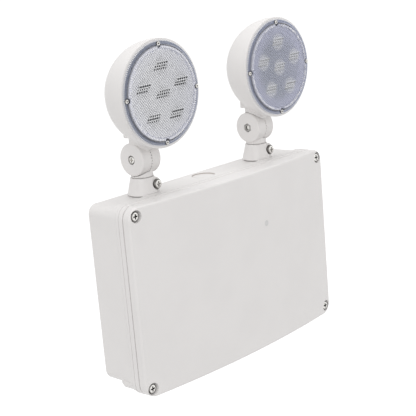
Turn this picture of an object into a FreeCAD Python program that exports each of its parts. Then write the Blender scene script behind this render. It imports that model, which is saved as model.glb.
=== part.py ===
import FreeCAD, Part
import math
import os
from FreeCAD import Vector

# Emergency exit light: a wall box with two lamp heads that swivel and tilt. Sizes in millimetres.
# X runs along the box, +Y goes into the wall, +Z is up. The origin is on the wall face, midway
# between the four cover screws. A "depth" is a distance from the wall face out into the room (-Y).
# The right-hand lamp unit is built and the left-hand one is its mirror, apart from the collars.

# ---- box ----
cover_width = 244.0
cover_height = 157.4
cover_corner = 11.0          # corner radius seen from the front
cover_edge = 1.8             # rounding of the front edge
cover_thickness = 2.8
cover_crown = 8.3            # how far the middle stands out past the two ends
cover_skirt = 4.6            # width of the cover's rim, which sits on the gasket
rim_front = 42.4             # depth of the face that the cover closes on
joint_gap = 1.0              # open gap between base and cover, where the gasket shows
rise_start = rim_front - 15.0        # depth where the body starts to widen out to the rim
rise_end = rim_front - 11.0          # depth where it has the rim's full height
side_rise_start = rim_front - 9.4    # the two sides widen further out
side_rise_end = rim_front - 6.8
rise_steps = 6
rim_lip = 0.2                # how far the base's rim stands out past the cover
rim_rounding = 0.9
pocket_radius = 14.0         # flat seat for each lamp unit, sunk into the rise
seam_depth = rim_front - 4.4         # fine line round the rim
seam_size = 0.45
cover_edge_depth = rim_front + joint_gap + 7.1   # depth of the front face at its two ends
body_top = cover_height / 2 - 2.2
body_bottom = cover_height / 2 - 6.6
body_width = cover_width - 2.4
body_draft = 0.8             # each side narrows this much towards the wall
body_corner = 8.0
back_rounding = 2.5
wall = 3.2
floor_thickness = 3.0

# ---- gasket between base and cover ----
gasket_inset = 1.4
gasket_width = 2.2
gasket_groove = 1.0
gasket_play = 0.1

# ---- cover screws ----
screw_spacing_x = cover_width - 2 * 7.0
screw_spacing_z = cover_height - 2 * 7.45
screw_head_radius = 4.0
screw_head_height = 2.6
recess_radius = 5.1
recess_depth = 3.6           # from the front face's end depth to the recess floor
column_radius = 6.6
boss_radius = 4.8
boss_length = 21.0
boss_taper = 4.0
m4_radius = 1.95
screw_play = 0.05
through_play = 0.35

# ---- wall fixings and knock-outs ----
fixing_spacing_x = cover_width - 2 * 27.0
fixing_spacing_z = cover_height - 2 * 23.7
fixing_radius = 2.75
fixing_pad = 6.0
knockout_radius = 10.0
knockout_depth = 0.8
knockout_step = 0.4

# ---- indicator window in the cover ----
window_x = cover_width / 2 - 92.0
window_z = cover_height / 2 - 47.7
window_radius = 2.5
window_flange = 1.6
window_play = 0.08

# ---- lamp unit's place ----
unit_x = cover_width / 2 - 50.0      # each unit's distance from the middle
unit_depth = 16.8

# ---- battery, board and what is on them ----
cell_radius = 9.3
cell_count = 3
cell_pitch = 2 * cell_radius - 1.0
cell_chamfer = 0.8
pack_length = cover_width - 112.0
strap_width = 12.0
strap_thickness = 1.2
strap_x = pack_length / 2 - 22.0
strap_foot = 7.2
strap_play = 0.3
strap_screw_length = 8.0
inner_gap = 0.7              # between the lower wall and the lower straps' ends
pack_board_gap = 3.0
board_width = 2 * (unit_x - 16.0)
board_top_gap = 9.3          # between the board's upper edge and the box's top wall
board_thickness = 1.6
standoff = 6.0
standoff_radius = 3.4
board_hole_inset = 4.5
board_screw_length = 6.0
blind_floor = 1.5            # what is left of the back wall behind a screw hole
small_screw_radius = 1.2
small_head_radius = 2.3
small_head_height = 1.5
transformer_size = (30.0, 22.0, 24.0)
transformer_inset = 22.0     # from the board's left end to the transformer's middle
terminal_size = (26.0, 12.0, 11.0)
terminal_inset = 22.0
terminal_rise = 11.0         # from the board's lower edge to the terminals' middle
terminal_ways = 4
relay_size = (19.0, 15.0, 15.0)
relay_offset = (8.0, 12.0)   # from the board's middle, along X and up
case_rounding = 0.9

# ---- swivel: collar, washer, nut and stem ----
washer_thickness = 0.7
washer_radius = 12.5
collar_foot = 13.2
collar_band = 0.7            # straight band at the collar's foot
collar_top_radius = 9.8
collar_top = body_top + 14.5
collar_edge = 0.5
collar_tail = 9.4
tail_length = 9.2            # collar's tail below the box's outer face
tail_play = 0.15
nut_across = 26.0
nut_thickness = 4.0
spigot_radius = 6.9
running_play = 0.07
clip_gap = 0.3
clip_thickness = 1.0
clip_radius = 9.0
clip_groove = 0.9
clip_play = 0.05
clip_opening = 9.0
spigot_tail = 1.6
wire_bore = 3.4
clamp_offset = 5.0           # the clamp screw's tip enters the groove round the spigot
clamp_z = collar_top - 6.2
clamp_boss = 5.7
clamp_boss_back = unit_depth - 4.0
clamp_boss_depth = unit_depth + 9.4
clamp_head_radius = 4.1
clamp_seat = 4.9
clamp_seat_height = 1.2
clamp_length = 6.0
clamp_tip_gap = 0.3
neck_radius = 9.15
neck_gap = 0.3
neck_chamfer = 0.5

# ---- tilt knuckle ----
tilt_z = collar_top + 15.5
knuckle_radius = 13.5
knuckle_half = 10.25         # half of its length, one toothed half
knuckle_edge = 1.2
knuckle_clearance = 0.45     # round the half that turns past the neck or the lug
tooth_count = 36
tooth_height = 0.5           # at the rim
tooth_gap = 0.12             # between the crests of the two toothed faces
tooth_crest = 0.42           # share of the pitch that is flat crest
tooth_root = 0.16            # share of the pitch that is flat root
tilt_head_radius = 3.5
tilt_head_height = 3.0
tilt_recess_play = 0.3
nut_flats = 7.0
tilt_nut_thickness = 3.2

# ---- lamp head ----
head_z = tilt_z + 53.5
bowl_radius = 43.1
bowl_centre = unit_depth + 29.2      # depth of the bowl's centre
bowl_face = bowl_centre + 1.6        # depth of the face that the lens sits on
bowl_wall = 2.5
bowl_edge = 0.45
ledge_inner = 34.8
ledge_thickness = 2.8
head_neck_radius = 9.6
head_neck_offset = 2.3       # the head's neck stands this much in front of the tilt axis
saddle_back = unit_depth - 7.6       # back and underside of the saddle between neck and bowl
saddle_bottom = tilt_z + 17.7
saddle_front = unit_depth + 8.0
saddle_rounding = 2.0
lens_radius = 41.0
lens_flange = 1.2
lens_step_radius = 36.6
lens_rise = 3.0
lens_crown = 0.8
lens_thickness = 2.2
lens_edge = 0.3
lens_draft = 0.2
lens_hole_play = 0.15
lens_gasket_inner = 35.3
lens_gasket_width = 1.4
lens_gasket_depth = 0.9
lens_screw_circle = 38.9
lens_screw_radius = 1.35
lens_screw_head = 1.85
lens_screw_head_height = 1.1
lens_screw_length = 8.0
lens_boss_radius = 2.8
board_ledge_inner = 31.5
board_ledge_depth = bowl_face - 10.2
board_ledge_thickness = 2.0
led_board_radius = 34.2
led_board_thickness = 1.6
led_circle = 21.8
led_count = 5
led_size = 3.0
led_height = 0.6
led_dome = 1.2
optic_front = bowl_face + 1.6
optic_radius = 7.1
optic_flange = 1.2
optic_base = 4.0
optic_pocket = 2.4
optic_pocket_depth = 1.7
led_screw_circle = 32.9
led_screw_radius = 0.95
led_screw_head = 1.5
led_screw_head_height = 1.0
led_screw_length = 5.0

# ---- worked out ----
UP = Vector(0, 0, 1)
RIGHT = Vector(1, 0, 0)
LEFT = Vector(-1, 0, 0)
TO_ROOM = Vector(0, -1, 0)
half_width = cover_width / 2
half_height = cover_height / 2
gasket_back = rim_front - gasket_groove
cover_back = rim_front + joint_gap
crown_depth = cover_edge_depth + cover_crown
crown_radius = (half_width ** 2 + cover_crown ** 2) / (2 * cover_crown)
cavity_top = body_top - wall
recess_floor = cover_edge_depth - recess_depth + 1.0
pack_depth = floor_thickness + cell_radius + strap_play
pack_half = (cell_count - 1) / 2 * cell_pitch + cell_radius
strap_reach = pack_half + strap_play + strap_thickness + strap_foot
pack_z = wall + inner_gap + strap_reach - body_bottom
board_bottom = pack_z + strap_reach + pack_board_gap
board_height = cavity_top - board_top_gap - board_bottom
board_z = board_bottom + board_height / 2
strap_foot_depth = floor_thickness + cell_radius
board_back = floor_thickness + standoff
board_front = board_back + board_thickness
foot_z = body_top + washer_thickness
tail_z = body_top - tail_length
neck_z = collar_top + neck_gap
spigot_end = tail_z - clip_gap - clip_thickness - spigot_tail
lens_front = bowl_face + lens_flange
led_board_front = board_ledge_depth + led_board_thickness

corners = [(x * screw_spacing_x / 2, z * screw_spacing_z / 2) for x in (-1, 1) for z in (-1, 1)]


def cosd(angle):
    return math.cos(math.radians(angle))


def sind(angle):
    return math.sin(math.radians(angle))


def at(x, depth, z):
    return Vector(x, -depth, z)


def block(x, depth, z, size_x, size_depth, size_z):
    # box centred on x and z, starting at a depth and growing into the room
    return Part.makeBox(size_x, size_depth, size_z, at(x - size_x / 2, depth + size_depth, z - size_z / 2))


def rod(x, depth, z, direction, radius, length):
    return Part.makeCylinder(radius, length, at(x, depth, z), direction)


def fused(shapes):
    return shapes[0].multiFuse(shapes[1:]).removeSplitter()


def outline(half_x, low, high, corner, depth):
    # rounded rectangle in the plane at that depth
    edges = []
    ends = []
    centres = [(half_x - corner, high - corner), (corner - half_x, high - corner),
               (corner - half_x, low + corner), (half_x - corner, low + corner)]
    for quarter, (cx, cz) in enumerate(centres):
        p = [at(cx + corner * cosd(a), depth, cz + corner * sind(a))
             for a in (90 * quarter, 90 * quarter + 45, 90 * quarter + 90)]
        edges.append(Part.Arc(p[0], p[1], p[2]).toShape())
        ends.append((p[0], p[2]))
    lines = [Part.LineSegment(ends[i][1], ends[(i + 1) % 4][0]).toShape() for i in range(4)]
    ordered = [edge for pair in zip(edges, lines) for edge in pair]
    return Part.Wire(ordered)


def rim_outline(depth, inset=0.0):
    inset = inset - rim_lip
    return outline(half_width - inset, inset - half_height, half_height - inset, cover_corner - inset, depth)


def cover_outline(depth, inset=0.0):
    corner = max(cover_corner - inset, 1.0)
    return outline(half_width - inset, inset - half_height, half_height - inset, corner, depth)


def body_outline(depth, inset=0.0):
    half_x = body_width / 2 - body_draft * (1 - depth / rise_start) - inset
    return outline(half_x, inset - body_bottom, body_top - inset, body_corner - inset, depth)


def eased(depth, start, end):
    # 0 at start, 1 at end, level at both
    t = min(max((depth - start) / (end - start), 0.0), 1.0)
    return t * t * (3 - 2 * t)


def rise_outline(depth):
    up = eased(depth, rise_start, rise_end)
    out = eased(depth, side_rise_start, side_rise_end)
    rim_half = half_height + rim_lip
    half_x = body_width / 2 + out * (half_width + rim_lip - body_width / 2)
    high = body_top + up * (rim_half - body_top)
    low = -body_bottom - up * (rim_half - body_bottom)
    return outline(half_x, low, high, body_corner + up * (cover_corner + rim_lip - body_corner), depth)


def slab(wire, thickness):
    return Part.Face(wire).extrude(TO_ROOM * thickness)


def on(value, target):
    return abs(value - target) < 0.01


def is_ring(edge):
    return len(edge.Vertexes) == 1


def edges_where(shape, test):
    return [edge for edge in shape.Edges if test(edge.CenterOfMass, edge)]


def turned(points, x, z):
    # solid of revolution about a line into the room through x, z; points are (radius, depth),
    # and a point with a third entry "arc" is the middle of an arc
    edges = []
    i = 0
    while i < len(points) - 1:
        if len(points[i + 1]) == 3:
            p = [at(x + q[0], q[1], z) for q in points[i:i + 3]]
            edges.append(Part.Arc(p[0], p[1], p[2]).toShape())
            i += 2
        else:
            edges.append(Part.LineSegment(*[at(x + q[0], q[1], z) for q in points[i:i + 2]]).toShape())
            i += 1
    first, last = points[0], points[-1]
    edges.append(Part.LineSegment(at(x + last[0], last[1], z), at(x + first[0], first[1], z)).toShape())
    return Part.Face(Part.Wire(edges)).revolve(at(x, 0, z), TO_ROOM, 360)


def turned_up(points, x, depth):
    # solid of revolution about a vertical line; points are (radius, height)
    p = [at(x + r, depth, z) for r, z in points]
    return Part.Face(Part.makePolygon(p + p[:1])).revolve(at(x, depth, 0), UP, 360)


def prism_along_x(points, x0, length):
    # profile of (depth, z) points, drawn out along X
    p = [at(x0, d, z) for d, z in points]
    return Part.Face(Part.makePolygon(p + p[:1])).extrude(RIGHT * length)


def cross_slot(centre, direction, size, depth):
    # cutter for a cross recess, sunk from centre against direction
    slots = []
    for turn in (0, 90):
        bar = Part.makeBox(size, size * 0.28, depth + 1.0, Vector(-size / 2, -size * 0.14, -depth))
        bar.rotate(Vector(0, 0, 0), UP, turn)
        slots.append(bar)
    tool = slots[0].fuse(slots[1])
    tool.Placement = FreeCAD.Placement(centre, FreeCAD.Rotation(UP, direction))
    return tool


def pan_screw(seat, direction, head_radius, head_height, radius, length):
    # pan head above its seat, shank below it, cross recess in the head
    head = Part.makeCylinder(head_radius, head_height, Vector(0, 0, 0), UP)
    top = edges_where(head, lambda c, e: on(c.z, head_height))
    head = head.makeFillet(head_height * 0.55, top)
    shank = Part.makeCylinder(radius, length + 0.1, Vector(0, 0, -length), UP)
    screw = head.fuse(shank)
    screw = screw.cut(cross_slot(Vector(0, 0, head_height), UP, head_radius * 1.1, head_height * 0.55))
    screw.Placement = FreeCAD.Placement(seat, FreeCAD.Rotation(UP, direction))
    return screw


def hexagon(across, thickness, centre, direction):
    radius = across / 2 / cosd(30)
    p = [Vector(radius * cosd(60 * i), radius * sind(60 * i), 0) for i in range(6)]
    solid = Part.Face(Part.makePolygon(p + p[:1])).extrude(UP * thickness)
    solid.Placement = FreeCAD.Placement(centre, FreeCAD.Rotation(UP, direction))
    return solid


def save(name, shape):
    if isinstance(shape, list):
        shape = Part.makeCompound(shape)
    elif shape.ShapeType == "Compound" and len(shape.Solids) == 1:
        shape = shape.Solids[0]
    if not shape.isValid():
        raise ValueError(name + " is not a valid shape")
    shape.exportStep(os.path.join("parts", name + ".step"))
    print(name, len(shape.Solids), "solid(s)", round(shape.Volume / 1000, 2), "cm3")


def save_pair(name, shape):
    # the right-hand piece and its mirror on the left
    save("right_" + name, shape)
    group = shape if isinstance(shape, list) else [shape]
    mirrored = [s.mirror(Vector(0, 0, 0), RIGHT) for s in group]
    save("left_" + name, mirrored if isinstance(shape, list) else mirrored[0])


# ---- box ----
def steps_between(start, end):
    return [start + (end - start) * i / rise_steps for i in range(rise_steps + 1)]


def rim_ring(depth, outer_inset, inner_inset, thickness):
    # a band that follows the rim
    outside = slab(rim_outline(depth, outer_inset), thickness)
    return outside.cut(slab(rim_outline(depth, inner_inset), thickness))


def base_housing():
    depths = steps_between(rise_start, rise_end) + steps_between(side_rise_start, side_rise_end)
    sections = [body_outline(0)] + [rise_outline(depth) for depth in depths] + [rim_outline(rim_front)]
    body = Part.makeLoft(sections, True, True)
    body = body.makeFillet(back_rounding, edges_where(body, lambda c, e: abs(c.y) < 0.01))
    body = body.makeFillet(rim_rounding, edges_where(body, lambda c, e: abs(-c.y - rim_front) < 0.01))
    cavity = Part.makeLoft([body_outline(floor_thickness, wall), body_outline(rise_start, wall),
                            body_outline(rim_front + 1, wall)], True, True)
    body = body.cut(cavity)
    adds = []
    for x, z in corners:
        adds.append(rod(x, rim_front - boss_length, z, TO_ROOM, boss_radius, boss_length))
        adds.append(Part.makeCone(boss_radius * 0.6, boss_radius, boss_taper,
                                  at(x, rim_front - boss_length - boss_taper, z), TO_ROOM))
    for x, z in board_holes():
        adds.append(rod(x, floor_thickness - 0.5, z, TO_ROOM, standoff_radius, standoff + 0.5))
    for x, z in strap_holes():
        adds.append(rod(x, floor_thickness - 0.5, z, TO_ROOM, standoff_radius,
                        strap_foot_depth - floor_thickness + 0.5))
    for x, z in fixing_holes():
        adds.append(rod(x, floor_thickness - 0.5, z, TO_ROOM, fixing_pad, 1.5))
    body = fused([body] + adds)
    groove = rim_ring(gasket_back, gasket_inset - gasket_play, gasket_inset + gasket_width + gasket_play,
                      gasket_groove + 1)
    seam = rim_ring(seam_depth, -1, seam_size, seam_size)
    cuts = [groove, seam]
    for x, z in corners:
        cuts.append(rod(x, rim_front - boss_length + 2, z, TO_ROOM, m4_radius + screw_play, boss_length))
    for x, z in board_holes():
        cuts.append(rod(x, blind_floor, z, TO_ROOM, small_screw_radius + screw_play, board_back))
    for x, z in strap_holes():
        cuts.append(rod(x, blind_floor, z, TO_ROOM, small_screw_radius + screw_play, strap_foot_depth))
    for x, z in fixing_holes():
        cuts.append(rod(x, -1, z, TO_ROOM, fixing_radius, floor_thickness + 4))
    for side in (-1, 1):
        cuts.append(rod(side * unit_x, unit_depth, cavity_top - 1, UP, collar_tail + tail_play, wall + 2))
        cuts.append(rod(side * unit_x, unit_depth, body_top, UP, pocket_radius, 10))
    # knock-outs: a shallow round recess in the top face, a ring groove in the back
    cuts.append(rod(0, unit_depth, body_top - knockout_depth, UP, knockout_radius, knockout_depth + 1))
    ring = rod(0, -1, board_z, TO_ROOM, knockout_radius, 1 + knockout_step)
    cuts.append(ring.cut(rod(0, -1, board_z, TO_ROOM, knockout_radius - 1, 2 + knockout_step)))
    return body.cut(cuts)


def fixing_holes():
    return [(x * fixing_spacing_x / 2, z * fixing_spacing_z / 2) for x in (-1, 1) for z in (-1, 1)]


def crowned(radius_cut, wire, depth):
    # everything out to the crowned front, which is part of a large upright cylinder
    barrel = Part.makeCylinder(crown_radius - radius_cut, cover_height + 20,
                               at(0, crown_depth - crown_radius, -half_height - 10), UP)
    return slab(wire, crown_depth + 5 - depth).common(barrel)


def front_cover():
    shell = crowned(0, cover_outline(cover_back), cover_back)
    shell = shell.makeFillet(cover_edge, edges_where(shell, lambda c, e: -c.y > cover_edge_depth - 0.6))
    shell = shell.cut(crowned(cover_thickness, cover_outline(cover_back - 1, cover_skirt), cover_back - 1))
    envelope = crowned(cover_edge, cover_outline(cover_back, cover_edge), cover_back)
    columns = [rod(x, cover_back, z, TO_ROOM, column_radius, 15).common(envelope) for x, z in corners]
    shell = fused([shell] + columns)
    cuts = []
    for x, z in corners:
        cuts.append(rod(x, recess_floor, z, TO_ROOM, recess_radius, 15))
        cuts.append(rod(x, cover_back - 1, z, TO_ROOM, m4_radius + through_play, 15))
    cuts.append(rod(window_x, cover_back, window_z, TO_ROOM, window_radius + window_play, 20))
    return shell.cut(cuts)


def front_depth(x):
    return crown_depth - crown_radius + math.sqrt(crown_radius ** 2 - x ** 2)


def indicator_window():
    seat = front_depth(window_x) - cover_thickness - 0.15
    plug = rod(window_x, seat, window_z, TO_ROOM, window_radius, cover_thickness + 0.1)
    flange = rod(window_x, seat - 1.2, window_z, TO_ROOM, window_radius + window_flange, 1.2)
    return plug.fuse(flange).removeSplitter()


def cover_gasket():
    return rim_ring(gasket_back, gasket_inset, gasket_inset + gasket_width, gasket_groove + joint_gap)


def cover_screws():
    length = recess_floor - rim_front + boss_length - 6
    return [pan_screw(at(x, recess_floor, z), TO_ROOM, screw_head_radius, screw_head_height,
                      m4_radius, length) for x, z in corners]


# ---- inside the box ----
def battery_pack():
    cells = []
    for i in range(cell_count):
        z = pack_z + (i - (cell_count - 1) / 2) * cell_pitch
        cell = rod(-pack_length / 2, pack_depth, z, RIGHT, cell_radius, pack_length)
        cells.append(cell.makeChamfer(cell_chamfer, edges_where(cell, lambda c, e: len(e.Vertexes) == 1)))
    return fused(cells)


def strap_holes():
    z = strap_reach - strap_foot / 2
    return [(x, pack_z + s * z) for x in (-strap_x, strap_x) for s in (-1, 1)]


def battery_strap(x):
    # a bent metal bridge over the cells, with a foot each side on a moulded post
    inner = pack_half + strap_play
    top = pack_depth + cell_radius + strap_play
    foot = strap_foot_depth
    t = strap_thickness
    z = strap_reach
    outline_points = [(foot, -z), (foot + t, -z), (foot + t, -inner - t), (top + t, -inner - t),
                      (top + t, inner + t), (foot + t, inner + t), (foot + t, z), (foot, z),
                      (foot, inner), (top, inner), (top, -inner), (foot, -inner)]
    profile = [(depth, pack_z + height) for depth, height in outline_points]
    strap = prism_along_x(profile, x - strap_width / 2, strap_width)
    hole_radius = small_screw_radius + through_play
    holes = [rod(hx, foot - 1, hz, TO_ROOM, hole_radius, t + 2) for hx, hz in strap_holes() if hx == x]
    return strap.cut(holes)


def small_screw(x, seat, z, length):
    return pan_screw(at(x, seat, z), TO_ROOM, small_head_radius, small_head_height,
                     small_screw_radius, length)


def board_holes():
    dx = board_width / 2 - board_hole_inset
    dz = board_height / 2 - board_hole_inset
    return [(x * dx, board_z + z * dz) for x in (-1, 1) for z in (-1, 1)]


def control_board():
    board = block(0, board_back, board_z, board_width, board_thickness, board_height)
    hole_radius = small_screw_radius + through_play
    return board.cut([rod(x, board_back - 1, z, TO_ROOM, hole_radius, board_thickness + 2)
                      for x, z in board_holes()])


def rounded_case(x, z, size):
    case = block(x, board_front, z, size[0], size[1], size[2])
    return case.makeFillet(case_rounding, edges_where(case, lambda c, e: -c.y > board_front + 1))


def transformer():
    return rounded_case(transformer_inset - board_width / 2, board_z, transformer_size)


def terminal_block():
    # a row of ways, each with a round screw opening, above a bevelled wire side
    width, depth, height = terminal_size
    x = board_width / 2 - terminal_inset
    z = board_bottom + terminal_rise
    front = board_front + depth
    body = block(x, board_front, z, width, depth, height)
    bevel = [(front - depth * 0.3, z - height), (front + 1, z - height), (front + 1, z + height * 0.1)]
    body = body.cut(prism_along_x(bevel, x - width, 2 * width))
    pitch = width / terminal_ways
    places = [x + (i - (terminal_ways - 1) / 2) * pitch for i in range(terminal_ways)]
    return body.cut([rod(px, front - depth / 3, z + height * 0.2, TO_ROOM, pitch * 0.3, depth)
                     for px in places])


def relay():
    return rounded_case(relay_offset[0], board_z + relay_offset[1], relay_size)


# ---- swivel ----
def collar(x):
    cone = turned_up([(0, foot_z), (collar_foot, foot_z), (collar_foot, foot_z + collar_band),
                      (collar_top_radius, collar_top), (0, collar_top)], x, unit_depth)
    cone = cone.makeFillet(collar_edge, edges_where(cone, lambda c, e: on(c.z, collar_top) and is_ring(e)))
    boss = rod(x + clamp_offset, clamp_boss_back, clamp_z, TO_ROOM, clamp_boss,
               clamp_boss_depth - clamp_boss_back)
    boss = boss.makeFillet(collar_edge, edges_where(boss, lambda c, e: on(-c.y, clamp_boss_depth)))
    seat = rod(x + clamp_offset, clamp_boss_depth - 1, clamp_z, TO_ROOM, clamp_seat, clamp_seat_height + 1)
    tail = rod(x, unit_depth, tail_z, UP, collar_tail, foot_z - tail_z)
    body = fused([cone, boss, seat, tail])
    spot_face = rod(x + clamp_offset, clamp_boss_depth + clamp_seat_height, clamp_z, TO_ROOM, clamp_seat, 10)
    bore = rod(x, unit_depth, tail_z - 1, UP, spigot_radius + running_play, collar_top - tail_z + 2)
    screw_hole = rod(x + clamp_offset, unit_depth, clamp_z, TO_ROOM, m4_radius + screw_play, 20)
    return body.cut([spot_face, bore, screw_hole])


def clamp_screw(x):
    seat = clamp_boss_depth + clamp_seat_height
    return pan_screw(at(x + clamp_offset, seat, clamp_z), TO_ROOM, clamp_head_radius,
                     screw_head_height, m4_radius, clamp_length)


def collar_washer(x):
    ring = rod(x, unit_depth, body_top, UP, washer_radius, washer_thickness)
    return ring.cut(rod(x, unit_depth, body_top - 1, UP, collar_tail + tail_play, washer_thickness + 2))


def collar_nut(x):
    low = cavity_top - nut_thickness
    nut = hexagon(nut_across, nut_thickness, at(x, unit_depth, low), UP)
    return nut.cut(rod(x, unit_depth, low - 1, UP, collar_tail + screw_play, nut_thickness + 2))


def stem_clip():
    top = tail_z - clip_gap
    ring = rod(unit_x, unit_depth, top - clip_thickness, UP, clip_radius, clip_thickness)
    bore = spigot_radius - clip_groove + clip_play
    ring = ring.cut(rod(unit_x, unit_depth, top - clip_thickness - 1, UP, bore, clip_thickness + 2))
    return ring.cut(block(unit_x, unit_depth, top, clip_opening, clip_radius + 1, 3 * clip_thickness))


def toothed_half(direction):
    # half of the knuckle: a disc whose inner face carries radial teeth that taper to the centre.
    # direction is +1 for the half on the far side from the box's middle, -1 for the other.
    rim = knuckle_radius + 1.0
    root_x = direction * (tooth_gap / 2 + tooth_height)
    crest_x = root_x - direction * tooth_height * rim / knuckle_radius
    back_x = direction * knuckle_half
    pitch = 360.0 / tooth_count
    flank = (1 - tooth_crest - tooth_root) / 2

    def spot(x, turns):
        angle = turns * pitch
        return Vector(unit_x + x, -unit_depth + rim * cosd(angle), tilt_z + rim * sind(angle))

    tooth = [(0, crest_x), (tooth_crest, crest_x), (tooth_crest + flank, root_x), (1 - flank, root_x)]
    ring = [(i + share, x) for i in range(tooth_count) for share, x in tooth]
    centre = Vector(unit_x + root_x, -unit_depth, tilt_z)
    faces = [Part.Face(Part.makePolygon([spot(back_x, turns) for turns, x in ring + ring[:1]]))]
    for (turns, x), (next_turns, next_x) in zip(ring, ring[1:] + ring[:1]):
        p, q = spot(x, turns), spot(next_x, next_turns)
        faces.append(Part.Face(Part.makePolygon([centre, p, q, centre])))
        faces.append(Part.Face(Part.makePolygon([p, q, spot(back_x, next_turns), spot(back_x, turns), p])))
    star = Part.makeSolid(Part.makeShell(faces))
    if star.Volume < 0:
        star.reverse()
    toward_back = RIGHT * direction
    disc = rod(unit_x, unit_depth, tilt_z, toward_back, knuckle_radius, knuckle_half)
    disc = disc.makeFillet(knuckle_edge, edges_where(disc, lambda c, e: on(c.x, unit_x + back_x)))
    return star.common(disc)


def stem():
    half = toothed_half(-1)
    neck = rod(unit_x, unit_depth, neck_z, UP, neck_radius, tilt_z - neck_z)
    neck = neck.makeChamfer(neck_chamfer, edges_where(neck, lambda c, e: on(c.z, neck_z) and is_ring(e)))
    root_x = unit_x - tooth_gap / 2 - tooth_height
    sweep = rod(root_x, unit_depth, tilt_z, RIGHT, knuckle_radius + knuckle_clearance, 2 * knuckle_half)
    behind_teeth = rod(root_x, unit_depth, tilt_z, LEFT, knuckle_radius - 2, knuckle_half - 2)
    neck = neck.cut([sweep, behind_teeth])
    spigot = rod(unit_x, unit_depth, spigot_end, UP, spigot_radius, neck_z - spigot_end + 0.5)
    body = fused([half, neck, spigot])
    clip_top = tail_z - clip_gap
    clip_low = clip_top - clip_thickness
    core = spigot_radius - clip_groove
    groove = rod(unit_x, unit_depth, clip_low - clip_play, UP, spigot_radius + 1,
                 clip_thickness + 2 * clip_play)
    groove = groove.cut(rod(unit_x, unit_depth, clip_low - 1, UP, core, clip_thickness + 2))
    tip = clamp_boss_depth + clamp_seat_height - clamp_length - unit_depth
    waist_radius = math.hypot(tip, clamp_offset - m4_radius) - clamp_tip_gap
    waist = rod(unit_x, unit_depth, clamp_z - m4_radius - clamp_tip_gap, UP, spigot_radius + 1,
                2 * (m4_radius + clamp_tip_gap))
    waist = waist.cut(rod(unit_x, unit_depth, clamp_z - 5, UP, waist_radius, 10))
    pin_hole = rod(unit_x + 1, unit_depth, tilt_z, LEFT, m4_radius + running_play, knuckle_half + 2)
    pocket = hexagon(nut_flats + tilt_recess_play, tilt_nut_thickness + 1.4,
                     at(unit_x - knuckle_half - 1, unit_depth, tilt_z), RIGHT)
    wires = rod(unit_x, unit_depth, spigot_end - 1, UP, wire_bore, neck_z - spigot_end)
    return body.cut([groove, waist, pin_hole, pocket, wires])


def tilt_nut():
    x = unit_x - knuckle_half + 0.4
    nut = hexagon(nut_flats, tilt_nut_thickness, at(x, unit_depth, tilt_z), RIGHT)
    return nut.cut(rod(x - 1, unit_depth, tilt_z, RIGHT, m4_radius + running_play, tilt_nut_thickness + 2))


def tilt_screw():
    seat = unit_x + knuckle_half - tilt_head_height - 0.1
    return pan_screw(at(seat, unit_depth, tilt_z), RIGHT, tilt_head_radius, tilt_head_height, m4_radius,
                     seat - unit_x + knuckle_half - 1.2)


# ---- lamp head ----
def ring_of(count, radius, start=0.0):
    angles = [start + 360 * i / count for i in range(count)]
    return [(unit_x + radius * cosd(a), head_z + radius * sind(a)) for a in angles]


def bowl_profile(radius, front):
    # hemisphere out to a flat front at that depth
    end_depth = min(front, bowl_centre)
    reach = math.sqrt(radius ** 2 - (bowl_centre - end_depth) ** 2)
    half_angle = math.degrees(math.atan2(reach, bowl_centre - end_depth)) / 2
    halfway = (radius * sind(half_angle), bowl_centre - radius * cosd(half_angle), "arc")
    points = [(0, bowl_centre - radius), halfway, (reach, end_depth)]
    if front > bowl_centre:
        points.append((reach, front))
    return points + [(0, front)]


def head_housing():
    outer = turned(bowl_profile(bowl_radius, bowl_face), unit_x, head_z)
    outer = outer.makeFillet(bowl_edge, edges_where(outer, lambda c, e: on(-c.y, bowl_face) and is_ring(e)))
    inner = turned(bowl_profile(bowl_radius - bowl_wall, bowl_face - ledge_thickness), unit_x, head_z)
    mouth = rod(unit_x, bowl_face - ledge_thickness - 0.5, head_z, TO_ROOM, ledge_inner, ledge_thickness + 2)
    shell = outer.cut([inner, mouth])
    ledge = rod(unit_x, board_ledge_depth - board_ledge_thickness, head_z, TO_ROOM, bowl_radius - 1,
                board_ledge_thickness)
    ledge = ledge.cut(rod(unit_x, 0, head_z, TO_ROOM, board_ledge_inner, bowl_face)).common(outer)
    bosses = [rod(x, bowl_face - 10, z, TO_ROOM, lens_boss_radius, 9).common(outer)
              for x, z in ring_of(4, lens_screw_circle)]
    arm = head_arm().cut(turned(bowl_profile(bowl_radius - bowl_wall, bowl_face), unit_x, head_z))
    half = toothed_half(1)
    body = fused([shell, ledge, arm, half] + bosses)
    groove = rod(unit_x, bowl_face - lens_gasket_depth, head_z, TO_ROOM,
                 lens_gasket_inner + lens_gasket_width + gasket_play, 3)
    groove = groove.cut(rod(unit_x, bowl_face - 5, head_z, TO_ROOM, lens_gasket_inner - gasket_play, 8))
    pin_hole = rod(unit_x - 1, unit_depth, tilt_z, RIGHT, m4_radius + screw_play, knuckle_half + 2)
    pocket = rod(unit_x + knuckle_half - tilt_head_height - 0.1, unit_depth, tilt_z, RIGHT,
                 tilt_head_radius + tilt_recess_play, 5)
    cuts = [groove, pin_hole, pocket]
    cuts += [rod(x, lens_front - lens_screw_length - 0.5, z, TO_ROOM, lens_screw_radius + screw_play, 12)
             for x, z in ring_of(4, lens_screw_circle)]
    cuts += [rod(x, board_ledge_depth - 5, z, TO_ROOM, led_screw_radius + screw_play, 6)
             for x, z in ring_of(3, led_screw_circle, 30)]
    return body.cut(cuts)


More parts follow.
